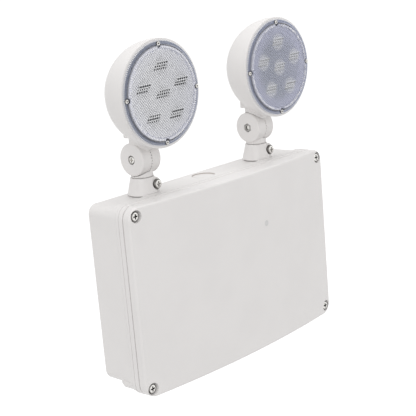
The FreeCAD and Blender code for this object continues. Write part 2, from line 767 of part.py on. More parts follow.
def head_arm():
    # from the bowl down to the knuckle: a saddle, then a round neck, open round the stem's half
    top = head_z - bowl_radius / 2
    profile = [(saddle_back, top), (saddle_back, saddle_bottom),
               (saddle_front, saddle_bottom), (saddle_front, top)]
    saddle = prism_along_x(profile, unit_x - knuckle_half, 2 * knuckle_half)
    upright = edges_where(saddle, lambda c, e: on(-c.y, saddle_back) and on(abs(c.x - unit_x), knuckle_half))
    saddle = saddle.makeFillet(saddle_rounding, upright)
    neck = rod(unit_x, unit_depth + head_neck_offset, tilt_z, UP, head_neck_radius, top - tilt_z)
    root_x = unit_x + tooth_gap / 2 + tooth_height
    sweep = rod(root_x, unit_depth, tilt_z, LEFT, knuckle_radius + knuckle_clearance, 2 * knuckle_half)
    return fused([saddle, neck]).cut(sweep)


def lens():
    # a flat flange, a stepped wall and a slightly domed front
    side = lens_front + lens_rise
    edge = lens_step_radius - lens_edge
    inside = lens_step_radius - lens_thickness
    dome = (edge ** 2 + lens_crown ** 2) / (2 * lens_crown)
    halfway = math.sqrt(dome ** 2 - (edge / 2) ** 2) - dome + lens_crown
    skin = [(inside, bowl_face), (lens_radius, bowl_face), (lens_radius, lens_front),
            (lens_step_radius + lens_draft, lens_front), (lens_step_radius, side - lens_edge),
            (edge, side), (edge / 2, side + halfway, "arc"), (0, side + lens_crown),
            (0, side - lens_thickness), (inside - lens_draft, side - lens_thickness)]
    holes = [rod(x, bowl_face - 1, z, TO_ROOM, lens_screw_radius + lens_hole_play, lens_flange + 2)
             for x, z in ring_of(4, lens_screw_circle)]
    return turned(skin, unit_x, head_z).cut(holes)


def lens_gasket():
    ring = rod(unit_x, bowl_face - lens_gasket_depth, head_z, TO_ROOM, lens_gasket_inner + lens_gasket_width,
               lens_gasket_depth)
    return ring.cut(rod(unit_x, bowl_face - 5, head_z, TO_ROOM, lens_gasket_inner, 8))


def lens_screws():
    return [pan_screw(at(x, lens_front, z), TO_ROOM, lens_screw_head, lens_screw_head_height,
                      lens_screw_radius, lens_screw_length) for x, z in ring_of(4, lens_screw_circle)]


def led_board():
    disc = rod(unit_x, board_ledge_depth, head_z, TO_ROOM, led_board_radius, led_board_thickness)
    return disc.cut([rod(x, board_ledge_depth - 1, z, TO_ROOM, led_screw_radius + 0.15, 5)
                     for x, z in ring_of(3, led_screw_circle, 30)])


def led_screws():
    return [pan_screw(at(x, led_board_front, z), TO_ROOM, led_screw_head, led_screw_head_height,
                      led_screw_radius, led_screw_length) for x, z in ring_of(3, led_screw_circle, 30)]


def led_places():
    return [(unit_x, head_z)] + ring_of(led_count, led_circle, 90)


def leds():
    chips = []
    for x, z in led_places():
        package = block(x, led_board_front, z, led_size, led_height, led_size)
        dome = Part.makeSphere(led_dome, at(x, led_board_front + led_height * 0.4, z))
        dome = dome.common(block(x, led_board_front, z, led_size, led_size, led_size))
        chips.append(package.fuse(dome).removeSplitter())
    return chips


def optics():
    back = led_board_front
    profile = [(optic_pocket, back), (optic_base, back), (optic_radius - 0.5, optic_front - optic_flange),
               (optic_radius, optic_front - optic_flange), (optic_radius, optic_front), (0, optic_front),
               (0, back + optic_pocket_depth), (optic_pocket, back + optic_pocket_depth)]
    return [turned(profile, x, z) for x, z in led_places()]


os.makedirs("parts", exist_ok=True)

save("base_housing", base_housing())
save("front_cover", front_cover())
save("cover_gasket", cover_gasket())
save("cover_screws", cover_screws())
save("indicator_window", indicator_window())
save("battery_pack", battery_pack())
save("left_battery_strap", battery_strap(-strap_x))
save("right_battery_strap", battery_strap(strap_x))
save("strap_screws", [small_screw(x, strap_foot_depth + strap_thickness, z, strap_screw_length)
                      for x, z in strap_holes()])
save("control_board", control_board())
save("board_screws", [small_screw(x, board_front, z, board_screw_length) for x, z in board_holes()])
save("transformer", transformer())
save("terminal_block", terminal_block())
save("relay", relay())

for name, x in (("left_", -unit_x), ("right_", unit_x)):
    save(name + "collar", collar(x))
    save(name + "collar_washer", collar_washer(x))
    save(name + "collar_nut", collar_nut(x))
    save(name + "clamp_screw", clamp_screw(x))

save_pair("stem", stem())
save_pair("stem_clip", stem_clip())
save_pair("tilt_nut", tilt_nut())
save_pair("head_housing", head_housing())
save_pair("tilt_screw", tilt_screw())
save_pair("lens", lens())
save_pair("lens_gasket", lens_gasket())
save_pair("lens_screws", lens_screws())
save_pair("led_board", led_board())
save_pair("led_board_screws", led_screws())
save_pair("leds", leds())
save_pair("led_optics", optics())
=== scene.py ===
import math

import bmesh
import bpy
from mathutils import Matrix, Vector


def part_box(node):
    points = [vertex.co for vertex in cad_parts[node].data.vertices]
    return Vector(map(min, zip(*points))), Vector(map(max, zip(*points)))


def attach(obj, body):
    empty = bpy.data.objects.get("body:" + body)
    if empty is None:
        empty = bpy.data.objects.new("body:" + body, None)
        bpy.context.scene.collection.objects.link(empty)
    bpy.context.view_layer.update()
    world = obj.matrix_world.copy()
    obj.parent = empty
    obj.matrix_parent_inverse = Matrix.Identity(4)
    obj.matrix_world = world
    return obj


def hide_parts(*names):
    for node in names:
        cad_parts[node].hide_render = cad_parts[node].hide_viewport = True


# Emergency exit light: a wall box with two lamp heads. Metres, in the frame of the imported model.
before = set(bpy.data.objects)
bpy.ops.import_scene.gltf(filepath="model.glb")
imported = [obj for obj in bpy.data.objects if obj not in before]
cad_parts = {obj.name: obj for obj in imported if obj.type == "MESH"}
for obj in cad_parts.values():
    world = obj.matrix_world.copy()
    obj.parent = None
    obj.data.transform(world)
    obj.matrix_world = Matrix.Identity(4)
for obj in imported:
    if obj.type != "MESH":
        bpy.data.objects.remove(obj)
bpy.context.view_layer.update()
print("frame loaded")

cameraSettings = {
    "place": (-0.68838, -0.67387, 0.27984),
    "right": (0.672196, -0.735713, -0.082938),
    "down": (-0.230237, -0.101253, -0.967853),
    "forward": (0.703664, 0.669682, -0.237451),
    "lens": 97.83,
    "sensor": 36.0,
    "clipStart": 0.05,
}


def makeCamera(s):
    data = bpy.data.cameras.new("camera")
    data.lens = s["lens"]
    data.sensor_width = s["sensor"]
    data.clip_start = s["clipStart"]
    camera = bpy.data.objects.new("camera", data)
    right, down, forward = (Vector(s[k]).normalized() for k in ("right", "down", "forward"))
    turn = Matrix((right, -down, -forward)).transposed()
    camera.matrix_world = Matrix.Translation(s["place"]) @ turn.to_4x4()
    bpy.context.scene.collection.objects.link(camera)
    bpy.context.scene.camera = camera


makeCamera(cameraSettings)


# shader maths: Value wraps a socket, and Python operators on it add Math nodes
class Value:
    def __init__(self, tree, socket):
        self.tree = tree
        self.socket = socket

    def maths(self, operation, *others):
        inputs = dict(enumerate((self,) + others))
        return self.tree.node("ShaderNodeMath", {"operation": operation}, inputs)

    def __add__(self, other):
        return self.maths("ADD", other)

    __radd__ = __add__

    def __mul__(self, other):
        return self.maths("MULTIPLY", other)

    __rmul__ = __mul__

    def __sub__(self, other):
        return self.maths("SUBTRACT", other)

    def __rsub__(self, other):
        return self.tree.node("ShaderNodeMath", {"operation": "SUBTRACT"}, {0: other, 1: self})

    def __gt__(self, other):
        return self.maths("GREATER_THAN", other)

    def __lt__(self, other):
        return self.maths("LESS_THAN", other)

    def out(self, name):
        return Value(self.tree, self.socket.node.outputs[name])

    def ramp(self, low, high):  # 0 below low, 1 above high, smooth between
        return self.tree.node("ShaderNodeMapRange", {"interpolation_type": "SMOOTHSTEP"},
                              {"Value": self, "From Min": low, "From Max": high})


class Finish:  # one material and its shader tree
    def __init__(self, name):
        self.material = bpy.data.materials.new(name)
        self.material.use_nodes = True
        self.nodes = self.material.node_tree.nodes
        self.links = self.material.node_tree.links
        self.shader = self.nodes["Principled BSDF"]

    def node(self, kind, settings=None, inputs=None, out=0):
        made = self.nodes.new(kind)
        for name, value in (settings or {}).items():
            setattr(made, name, value)
        for name, value in (inputs or {}).items():
            self.feed(made.inputs[name], value)
        return Value(self, made.outputs[out])

    def feed(self, socket, value):
        if isinstance(value, Value):
            self.links.new(value.socket, socket)
        else:
            socket.default_value = (*value, 1.0) if socket.type == "RGBA" else value

    def place(self):  # object coordinates
        return self.node("ShaderNodeTexCoord", out=3)

    def split(self, vector):
        parts = self.node("ShaderNodeSeparateXYZ", None, {0: vector})
        return [parts.out(i) for i in range(3)]

    def noise(self, vector, scale, detail, roughness=0.55):
        return self.node("ShaderNodeTexNoise", None, {"Vector": vector, "Scale": scale,
                                                      "Detail": detail, "Roughness": roughness})

    def mix(self, factor, first, second):
        made = self.nodes.new("ShaderNodeMix")
        made.data_type = "RGBA"
        sockets = [i for i in made.inputs if i.enabled]
        for socket, value in zip(sockets, (factor, first, second)):
            self.feed(socket, value)
        return Value(self, [o for o in made.outputs if o.enabled][0])

    def bump(self, height, strength, distance):
        return self.node("ShaderNodeBump", None,
                         {"Height": height, "Strength": strength, "Distance": distance})

    def set(self, **values):  # Base_Color=..., Roughness=...
        for name, value in values.items():
            self.feed(self.shader.inputs[name.replace("_", " ")], value)
        return self.material


# stage: a pale floor well below the wall box, and soft light from above and from both sides
stageSettings = {
    "floorLevel": -0.6,
    "floorSize": 40.0,
    "floorColour": (0.7, 0.7, 0.7),
    "floorGlow": 0.6,
    "worldLight": 0.74,
    "aim": (0, -0.03, 0.06),
    "topLight": {"place": (0.05, -0.1, 1.6), "size": 1.4, "power": 9.0},
    "rightLight": {"place": (1.2, -1.2, 0.3), "size": 1.0, "power": 2.2},
    "leftLight": {"place": (-2.9, -1.8, 1.2), "size": 2.0, "power": 26.0},
}


def makeFloor(s):
    size = s["floorSize"] / 2
    mesh = bpy.data.meshes.new("floor")
    corners = [(x * size, y * size, s["floorLevel"]) for x, y in ((-1, -1), (1, -1), (1, 1), (-1, 1))]
    mesh.from_pydata(corners, [], [(0, 1, 2, 3)])
    floor = bpy.data.objects.new("floor", mesh)
    bpy.context.scene.collection.objects.link(floor)
    finish = Finish("floorPaint")
    ray = finish.node("ShaderNodeLightPath")
    mirrored = ray.out("Is Glossy Ray").maths("MAXIMUM", ray.out("Is Transmission Ray"))
    seen = ray.maths("MAXIMUM", mirrored)
    finish.set(Base_Color=s["floorColour"], Roughness=0.9, Specular_IOR_Level=0.0,
               Emission_Color=(1, 1, 1), Emission_Strength=seen * s["floorGlow"])
    mesh.materials.append(finish.material)


def makeWorld(s):
    world = bpy.data.worlds.new("studio")
    bpy.context.scene.world = world
    world.use_nodes = True
    nodes, links = world.node_tree.nodes, world.node_tree.links
    background = nodes["Background"]
    path = nodes.new("ShaderNodeLightPath")
    bright = path.outputs["Is Camera Ray"]
    for ray in ("Is Glossy Ray", "Is Transmission Ray"):
        either = nodes.new("ShaderNodeMath")
        either.operation = "MAXIMUM"
        links.new(bright, either.inputs[0])
        links.new(path.outputs[ray], either.inputs[1])
        bright = either.outputs[0]
    level = nodes.new("ShaderNodeMapRange")
    level.inputs["To Min"].default_value = s["worldLight"]
    level.inputs["To Max"].default_value = 1.0
    links.new(bright, level.inputs["Value"])
    links.new(level.outputs[0], background.inputs["Strength"])
    background.inputs["Color"].default_value = (1, 1, 1, 1)


def makeLights(s):
    for name in ("topLight", "rightLight", "leftLight"):
        lamp = s[name]
        data = bpy.data.lights.new(name, "AREA")
        data.size = lamp["size"]
        data.energy = lamp["power"]
        light = bpy.data.objects.new(name, data)
        light.location = lamp["place"]
        aim = Vector(s["aim"]) - light.location
        light.rotation_euler = aim.to_track_quat("-Z", "Y").to_euler()
        bpy.context.scene.collection.objects.link(light)


makeFloor(stageSettings)
makeWorld(stageSettings)
makeLights(stageSettings)
bpy.context.scene.view_settings.view_transform = "Standard"
print("camera, floor and light made")

# moulded plastic of the box, collars, stems and lamp housings
plasticSettings = {
    "colour": (0.80, 0.780, 0.770),
    "shade": (0.78, 0.760, 0.750),
    "cloudSize": 28.0,
    "cloudFade": (0.35, 0.65),
    "patchSize": 252.0,
    "patchRoughness": 0.08,
    "grainSize": 2600.0,
    "grainFade": (0.3, 0.7),
    "grainShade": 0.5,
    "grainRoughness": 0.06,
    "grainBump": 0.35,
    "grainHeight": 0.000012,
    "roughness": 0.42,
}

# painted shade: a fine dark line in the round groove of the knock-out on top
grooveShadeSettings = {
    "y": -0.0168,
    "above": 0.0745,
    "radius": 0.0101,
    "fade": (0.0002, 0.0006),
    "strength": 0.6,
    "colour": (0.38, 0.33, 0.29),
}


def grooveShadeRing(finish, coords, g):
    x, y, z = finish.split(coords)
    y = y - g["y"]
    away = ((x * x + y * y).maths("SQRT") - g["radius"]).maths("ABSOLUTE")
    return (1 - away.ramp(*g["fade"])) * (z > g["above"])


def mouldedPlastic(name, s, grain=1.0, colour=None, roughness=None, groove=None):
    finish = Finish(name)
    coords = finish.place()
    cloud = finish.noise(coords, s["cloudSize"], 2.0)
    fine = finish.noise(coords, s["grainSize"], 2.0, 0.6)
    patchy = finish.noise(coords, s["patchSize"], 3.0)
    base = colour or s["colour"]
    shade = tuple(a * b / c for a, b, c in zip(base, s["shade"], s["colour"]))
    tone = finish.mix(cloud.ramp(*s["cloudFade"]), base, shade)
    tone = finish.mix(fine.ramp(*s["grainFade"]) * s["grainShade"], tone, shade)
    # painted shade: a darker ring in the knock-out's groove
    if groove:
        ring = grooveShadeRing(finish, coords, groove)
        tone = finish.mix(ring * groove["strength"], tone, groove["colour"])
    rough = (roughness or s["roughness"]) + (patchy - 0.5) * s["patchRoughness"]
    rough = rough + (fine - 0.5) * s["grainRoughness"]
    normal = finish.bump(fine, s["grainBump"] * grain, s["grainHeight"])
    return finish.set(Base_Color=tone, Roughness=rough, Normal=normal)


# plated screws, nuts, clips and straps: bright metal with fine turning marks, and cloudy dark patches
# as painted dark reflections
metalSettings = {
    "colour": (0.72, 0.705, 0.68),
    # the dark tone is painted dark reflection
    "dark": (0.13, 0.125, 0.12),
    # edge and the recess tone below it: painted shade round each head's rim and in its recess
    "edge": (0.10, 0.095, 0.09),
    "recessShadeTone": (0.02, 0.018, 0.016),
    "metallic": 0.9,
    "roughness": 0.2,
    "markSize": 900.0,
    "cloudSize": 315.0,
    "darkReflectionFade": (0.45, 0.75),
    "markRoughness": 0.15,
    "markBump": 0.3,
    "markHeight": 0.00002,
    "sheetReflectionMix": 0.6,
    "headReflectionMix": 0.4,
    "pitDepth": (0.00012, 0.0034),  # below the top of the head
    "pitEdge": (0.68, 0.74),        # shares of the head's radius
    "rimEdge": (0.74, 0.86),
    "rimShadeMix": 0.85,
}


def turnedMetal(finish, s, tone, marks):
    return finish.set(Base_Color=tone, Metallic=s["metallic"],
                      Roughness=s["roughness"] + marks * s["markRoughness"],
                      Normal=finish.bump(marks, s["markBump"], s["markHeight"]))


def platedSteel(name, s, darkness=0.0):
    finish = Finish(name)
    coords = finish.place()
    marks = finish.noise(coords, s["markSize"], 2.0, 0.7)
    cloud = finish.noise(coords, s["cloudSize"], 2.0)
    # painted dark reflections: cloudy patches mixed towards the dark tone
    darkReflection = cloud.ramp(*s["darkReflectionFade"]) * s["sheetReflectionMix"] + darkness
    return turnedMetal(finish, s, finish.mix(darkReflection, s["colour"], s["dark"]), marks)


def screwFinish(name, s, node, axis, head, layout, recess):
    # bright heads with painted shade round the edge and in the recess; four screws are folded onto
    # one
    low, high = (Vector(c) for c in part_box(node))
    middle, half = (low + high) / 2, (high - low) / 2
    finish = Finish(name)
    coords = finish.place()
    spot = finish.split(coords)
    flat = [i for i in range(3) if i != axis]
    a, b = ((spot[i] - middle[i]).maths("ABSOLUTE") for i in flat)
    if layout == "ring":
        a, b = a.maths("MAXIMUM", b) - (half[0] - head), a.maths("MINIMUM", b)
    if layout == "four":
        a, b = a - (half[flat[0]] - head), b - (half[flat[1]] - head)
    reach = (a * a + b * b).maths("SQRT")
    below = high[0] - spot[0] if axis == 0 else spot[1] - low[1]
    pitLow, pitHigh = s["pitDepth"]
    pitEdge, rimEdge = ([head * share for share in s[k]] for k in ("pitEdge", "rimEdge"))
    # painted shade in the recess of the head
    recessShadeMask = (below > pitLow) * (below < pitHigh) * (1 - reach.ramp(*pitEdge))
    marks = finish.noise(coords, s["markSize"], 2.0, 0.7)
    # painted dark reflections on the heads, mixed in by the turning-mark noise
    tone = finish.mix(marks.ramp(*s["darkReflectionFade"]) * s["headReflectionMix"], s["colour"], s["dark"])
    # painted shade round the rim of each head, then in its recess
    tone = finish.mix(reach.ramp(*rimEdge) * s["rimShadeMix"], tone, s["edge"])
    tone = finish.mix(recessShadeMask * recess, tone, s["recessShadeTone"])
    return turnedMetal(finish, s, tone, marks)


rubberSettings = {
    "grainSize": 1800.0,
    "grainFade": (0.3, 0.7),
    "darker": 0.7,
    "roughness": 0.75,
    "grainRoughness": 0.1,
    "grainBump": 0.4,
    "grainHeight": 0.00003,
}


def softRubber(name, s, colour):
    finish = Finish(name)
    fine = finish.noise(finish.place(), s["grainSize"], 3.0, 0.7)
    tone = finish.mix(fine.ramp(*s["grainFade"]), colour, tuple(c * s["darker"] for c in colour))
    return finish.set(Base_Color=tone, Roughness=s["roughness"] + fine * s["grainRoughness"],
                      Normal=finish.bump(fine, s["grainBump"], s["grainHeight"]))


boardSettings = {
    "trackScale": 90.0,
    "trackBend": 6.0,
    "trackFade": (0.72, 0.78),
    "roughness": 0.35,
    "trackRoughness": 0.1,
    "trackBump": 0.5,
    "trackHeight": 0.00003,
}


def circuitBoard(name, s, colour, trace):
    # solder mask with faint copper tracks under it
    finish = Finish(name)
    wave = finish.node("ShaderNodeTexWave", {"bands_direction": "DIAGONAL"},
                       {"Vector": finish.place(), "Scale": s["trackScale"],
                        "Distortion": s["trackBend"], "Detail": 0.0}, 1)
    tracks = wave.ramp(*s["trackFade"])
    return finish.set(Base_Color=finish.mix(tracks, colour, trace),
                      Roughness=s["roughness"] + tracks * s["trackRoughness"],
                      Normal=finish.bump(tracks, s["trackBump"], s["trackHeight"]))


def clearOptic(name, colour, alpha, roughness):
    return Finish(name).set(Base_Color=colour, Alpha=alpha, Roughness=roughness)


sides = ("left_", "right_")


def both(name):
    return [side + name for side in sides]


def paint(material, *names):
    for name in names:
        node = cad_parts[name]
        node.data.materials.clear()
        node.data.materials.append(material)


def plastic(name, *names, **changes):
    paint(mouldedPlastic(name, plasticSettings, **changes), *names)


# plastic, rubber and boards
plastic("mouldedShell", "base_housing", groove=grooveShadeSettings)
plastic("mouldedSwivel", *both("collar"), *both("stem"))
plastic("mouldedCover", "front_cover", grain=0.6)
plastic("mouldedLampHousing", *both("head_housing"), grain=0.8)
plastic("frostedWindow", "indicator_window", colour=(0.67, 0.66, 0.655), roughness=0.3)
plastic("darkNylon", *both("collar_nut"), "transformer", "relay", colour=(0.05, 0.05, 0.055))
plastic("terminalGrey", "terminal_block", colour=(0.32, 0.33, 0.33))
plastic("cellSleeve", "battery_pack", colour=(0.05, 0.11, 0.3), roughness=0.25)
plastic("ledPackage", *both("leds"), colour=(0.72, 0.62, 0.26), roughness=0.3)
paint(softRubber("coverSeal", rubberSettings, (0.30, 0.275, 0.26)), "cover_gasket")
paint(softRubber("collarSeal", rubberSettings, (0.16, 0.15, 0.14)),
      *both("collar_washer"), *both("lens_gasket"))
paint(circuitBoard("greenBoard", boardSettings, (0.02, 0.11, 0.05), (0.04, 0.18, 0.08)),
      "control_board")
paint(circuitBoard("whiteBoard", boardSettings, (0.62, 0.64, 0.68), (0.54, 0.56, 0.60)),
      *both("led_board"))
paint(clearOptic("opticClear", (0.86, 0.87, 0.89), 0.35, 0.06), *both("led_optics"))

# metal; each head: the axis it faces along, its radius, its layout and how dark the painted shade in
# its recess is
coverScrewHead = (1, 0.004, "four", 0.96)
screwHeads = {
    "clamp_screw": (1, 0.0041, "one", 0.3),
    "tilt_nut": (0, 0.0034, "one", 0.9),
    "tilt_screw": (0, 0.0035, "one", 0.96),
    "lens_screws": (1, 0.00185, "ring", 0.96),
}
paint(platedSteel("platedScrew", metalSettings),
      "board_screws", "strap_screws", *both("led_board_screws"))
paint(platedSteel("sheetMetal", metalSettings, 0.2), *both("stem_clip"), *both("battery_strap"))
paint(screwFinish("coverScrewSteel", metalSettings, "cover_screws", *coverScrewHead),
      "cover_screws")
for piece, head in screwHeads.items():
    for node in both(piece):
        paint(screwFinish(node + "Steel", metalSettings, node, *head), node)
print("finishes put on the packed pieces")


# geometry node trees: Maker adds nodes and links to one tree with named inputs
class Maker:
    def __init__(self, name, inputs):
        self.tree = bpy.data.node_groups.new(name, "GeometryNodeTree")
        self.sockets = {}
        for title, kind, value in inputs:
            socket = self.tree.interface.new_socket(name=title, in_out="INPUT", socket_type=kind)
            self.sockets[title] = (socket.identifier, value)
        self.tree.interface.new_socket(name="Geometry", in_out="OUTPUT",
                                       socket_type="NodeSocketGeometry")
        self.given = self.tree.nodes.new("NodeGroupInput").outputs

    def node(self, kind, settings=None, inputs=None, out=0):
        made = self.tree.nodes.new(kind)
        for name, value in (settings or {}).items():
            setattr(made, name, value)
        for name, value in (inputs or {}).items():
            if isinstance(value, bpy.types.NodeSocket):
                self.tree.links.new(value, made.inputs[name])
            else:
                made.inputs[name].default_value = value
        return made.outputs[out]

    def maths(self, operation, *values):
        return self.node("ShaderNodeMath", {"operation": operation}, dict(enumerate(values)))

    def spot(self):
        return self.node("GeometryNodeInputPosition")

    def split(self, vector):
        return self.node("ShaderNodeSeparateXYZ", None, {0: vector}).node.outputs

    def nearScrew(self, circle, reach):  # 1 within reach of the four screws on a circle
        spot = self.node("ShaderNodeVectorMath", {"operation": "ABSOLUTE"}, {0: self.spot()})
        x, y = self.split(spot)[:2]
        folded = self.node("ShaderNodeCombineXYZ", None,
                           {0: self.maths("MAXIMUM", x, y), 1: self.maths("MINIMUM", x, y)})
        away = self.node("ShaderNodeVectorMath", {"operation": "DISTANCE"},
                         {0: folded, 1: (circle, 0.0, 0.0)}, 1)
        return self.maths("LESS_THAN", away, reach)

    def without(self, points, selection):
        return self.node("GeometryNodeDeleteGeometry", {"domain": "POINT"},
                         {"Geometry": points, "Selection": selection})

    def finishMesh(self, geometry, name, material, turn):
        # realised, given its material, turned into place, and made a plain mesh
        plain = self.node("GeometryNodeRealizeInstances", None, {"Geometry": geometry})
        coloured = self.node("GeometryNodeSetMaterial", None,
                             {"Geometry": plain, "Material": material})
        end = self.tree.nodes.new("NodeGroupOutput")
        self.tree.links.new(coloured, end.inputs[0])
        holder = bpy.data.objects.new(name, bpy.data.meshes.new(name))
        bpy.context.scene.collection.objects.link(holder)
        modifier = holder.modifiers.new("shape", "NODES")
        modifier.node_group = self.tree
        for identifier, value in self.sockets.values():
            modifier[identifier] = value
        bpy.context.view_layer.update()
        shape = holder.evaluated_get(bpy.context.evaluated_depsgraph_get())
        mesh = bpy.data.meshes.new_from_object(shape)
        holder.modifiers.remove(modifier)
        holder.data = mesh
        mesh.transform(turn)
        mesh.shade_flat()
        return holder


def toRoom(centre, depth):
    # local Z points out into the room, local Y up
    place = Matrix.Translation((centre[0], -depth, centre[1]))
    return place @ Matrix.Rotation(math.radians(90), 4, "X")


def ringOf(name, count, radius, size, material, turn, screws=None):
    # small bars round a circle, each pointing outwards, with gaps at the four screws
    maker = Maker(name, [("Count", "NodeSocketInt", count), ("Radius", "NodeSocketFloat", radius)])
    ring = maker.node("GeometryNodeMeshCircle", None,
                      {"Vertices": maker.given["Count"], "Radius": maker.given["Radius"]})
    if screws:
        ring = maker.without(ring, maker.nearScrew(*screws))
    bar = maker.node("GeometryNodeMeshCube", None, {"Size": size})
    x, y = maker.split(maker.spot())[:2]
    turned = maker.node("ShaderNodeCombineXYZ", None, {2: maker.maths("ARCTAN2", y, x)})
    bars = maker.node("GeometryNodeInstanceOnPoints", None,
                      {"Points": ring, "Instance": bar, "Rotation": turned})
    return maker.finishMesh(bars, name, material, turn)


def prismField(name, s, material, turn):
    # four-sided pyramids in a diamond lattice, cut off at a circle and round the screws
    maker = Maker(name, [("Radius", "NodeSocketFloat", s["fieldRadius"]),
                         ("Pitch", "NodeSocketFloat", s["pitch"]),
                         ("Height", "NodeSocketFloat", s["prismHeight"])])
    radius, pitch, height = (maker.given[n] for n in ("Radius", "Pitch", "Height"))
    rows = int(2 * s["fieldRadius"] / s["pitch"]) + 3
    span = maker.maths("MULTIPLY", pitch, rows - 1.0)
    grid = maker.node("GeometryNodeMeshGrid", None,
                      {"Size X": span, "Size Y": span, "Vertices X": rows, "Vertices Y": rows})
    grid = maker.node("GeometryNodeTransform", None,
                      {"Geometry": grid, "Rotation": (0, 0, math.radians(45))})
    reach = maker.node("ShaderNodeVectorMath", {"operation": "LENGTH"}, {0: maker.spot()}, 1)
    nearby = maker.nearScrew(s["screwCircle"], s["notch"] + s["prismClearance"])
    outside = maker.maths("MAXIMUM", maker.maths("GREATER_THAN", reach, radius), nearby)
    corner = maker.maths("MULTIPLY", pitch, math.sqrt(0.5))
    cone = maker.node("GeometryNodeMeshCone", {"fill_type": "NGON"},
                      {"Vertices": 4, "Radius Top": 0.0, "Radius Bottom": corner, "Depth": height})
    field = maker.node("GeometryNodeInstanceOnPoints", None,
                       {"Points": maker.without(grid, outside), "Instance": cone})
    return maker.finishMesh(field, name, material, turn)


def spun(name, profile, centre, material, steps, edge):
    # closed solid of revolution; profile points are (radius, depth), and edge gives the radius
    # that one has at an angle
    work = bmesh.new()
    rings = []
    for radius, depth in profile:
        if radius < 1e-7:
            rings.append([work.verts.new((centre[0], -depth, centre[1]))] * steps)
            continue
        ring = []
        for i in range(steps):
            angle = 2 * math.pi * i / steps
            r = edge(radius, angle)
            ring.append(work.verts.new((centre[0] + r * math.cos(angle), -depth,
                                        centre[1] + r * math.sin(angle))))
        rings.append(ring)
    for first, second in zip(rings, rings[1:] + rings[:1]):
        for i in range(steps):
            j = (i + 1) % steps
            corners = list(dict.fromkeys((first[i], first[j], second[j], second[i])))
            if len(corners) > 2:
                work.faces.new(corners)
    bmesh.ops.recalc_face_normals(work, faces=work.faces)
    mesh = bpy.data.meshes.new(name)
    work.to_mesh(mesh)
    work.free()
    made = bpy.data.objects.new(name, mesh)
    bpy.context.scene.collection.objects.link(made)
    mesh.materials.append(material)
    return made


def smoothByAngle(piece, degrees):
    for face in piece.data.polygons:
        face.use_smooth = True
    piece.data.set_sharp_from_angle(angle=math.radians(degrees))


# lens: a clear stepped shell, notched at its screws, over a plate of small diamond prisms
lensSettings = {
    "centre": {"left_": (-0.072, 0.160), "right_": (0.072, 0.160)},
    "steps": 720,
    "seat": 0.0476,
    "flange": 0.0410,
    "flangeTop": 0.0488,
    "groove": (0.0394, 0.0399),
    "grooveTaper": 0.0001,
    "rounding": 0.0002,
    "step": 0.0381,
    "stepTop": 0.0517,
    "stepRounding": 0.0003,
    "crown": 0.0525,
    "crownInset": 0.0004,
    "crownRings": (1.0, 0.8, 0.6, 0.4, 0.2, 0.0),
    "wall": 0.0008,
    "innerInset": 0.0006,
    "innerRounding": 0.0005,
    "screwCircle": 0.0389,
    "notch": 0.00235,
    "notchedFrom": 0.003,
    "notchedTo": 0.0003,
    "plate": 0.0499,
    "plateRadius": 0.0371,
    "plateThickness": 0.0006,
    "fieldRadius": 0.0343,
    "pitch": 0.0017,
    "prismHeight": 0.0006,
    "prismClearance": 0.0021,
    "edgeRibs": 132,
    "edgeRibSize": (0.0016, 0.0010, 0.0016),
    "edgeRibInset": 0.0010,
    "edgeRibClearance": 0.0016,
    "rimRibs": 170,
    "rimRibSize": (0.0005, 0.0008, 0.0013),
    "rimRibInset": 0.0002,
    "rimRibDrop": 0.00055,
}

# shell: a clear flange painted slate for the shade seen through it, with painted light making it
# lighter to the right and lower down and the right lens's flange lighter than the left's, and a
# nearly clear dome
shellTones = {
    "shadedSlate": {"left_": (0.18, 0.20, 0.265), "right_": (0.22, 0.24, 0.33)},
    "rightLitScale": 1.55,
    "cloudSize": 60.0,
    "cloudShare": 0.5,
    "acrossShare": 12.0,
    "acrossFade": (-0.1, 0.75),
    "lowFade": (-0.012, 0.02),
    "grooveBand": (0.0393, 0.0399),
    "grooveTone": (0.56, 0.58, 0.68),
    "grooveMix": 0.25,
    "grooveLowMix": 0.45,
    "lipRadius": 0.0405,
    "lipTone": (0.66, 0.67, 0.78),
    "lipMix": 0.5,
    "flangeMargin": 0.00015,
    "wallWidth": 0.0010,
    "clear": (0.80, 0.805, 0.87),
    "flangeAlpha": 0.87,
    "wallAlpha": 0.20,
    "domeAlpha": 0.03,
    "roughness": 0.08,
}


def fromCentre(spot, centre):
    # across, up and straight out from a lens's axis
    x = spot[0] - centre[0]
    z = spot[2] - centre[1]
    return x, z, (x * x + z * z).maths("SQRT")


def shellFinish(side, s, t):
    finish = Finish(side + "lensClear")
    coords = finish.place()
    spot = finish.split(coords)
    x, z, reach = fromCentre(spot, s["centre"][side])
    flange = spot[1] * -1.0 < s["flangeTop"] + t["flangeMargin"]
    cloud = finish.noise(coords, t["cloudSize"], 2.0)
    # painted light: the flange grows lighter towards the right of each lens
    sideLight = (x * t["acrossShare"] + cloud * t["cloudShare"]).ramp(*t["acrossFade"])
    base = t["shadedSlate"][side]
    shadedSlate = finish.mix(sideLight, base, tuple(c * t["rightLitScale"] for c in base))
    bandLow, bandHigh = t["grooveBand"]
    band = (reach > bandLow) * (reach < bandHigh)
    # painted lighter bands at the groove and at the outer edge, stronger lower down
    lower = (z * -1.0).ramp(*t["lowFade"])
    shadedSlate = finish.mix(band * (lower * t["grooveLowMix"] + t["grooveMix"]), shadedSlate, t["grooveTone"])
    shadedSlate = finish.mix((reach > t["lipRadius"]) * lower * t["lipMix"], shadedSlate, t["lipTone"])
    wall = (reach > s["step"] - t["wallWidth"]) * (1 - flange)
    alpha = flange * t["flangeAlpha"] + wall * t["wallAlpha"] + t["domeAlpha"]
    return finish.set(Base_Color=finish.mix(flange, t["clear"], shadedSlate), Alpha=alpha,
                      Roughness=t["roughness"])
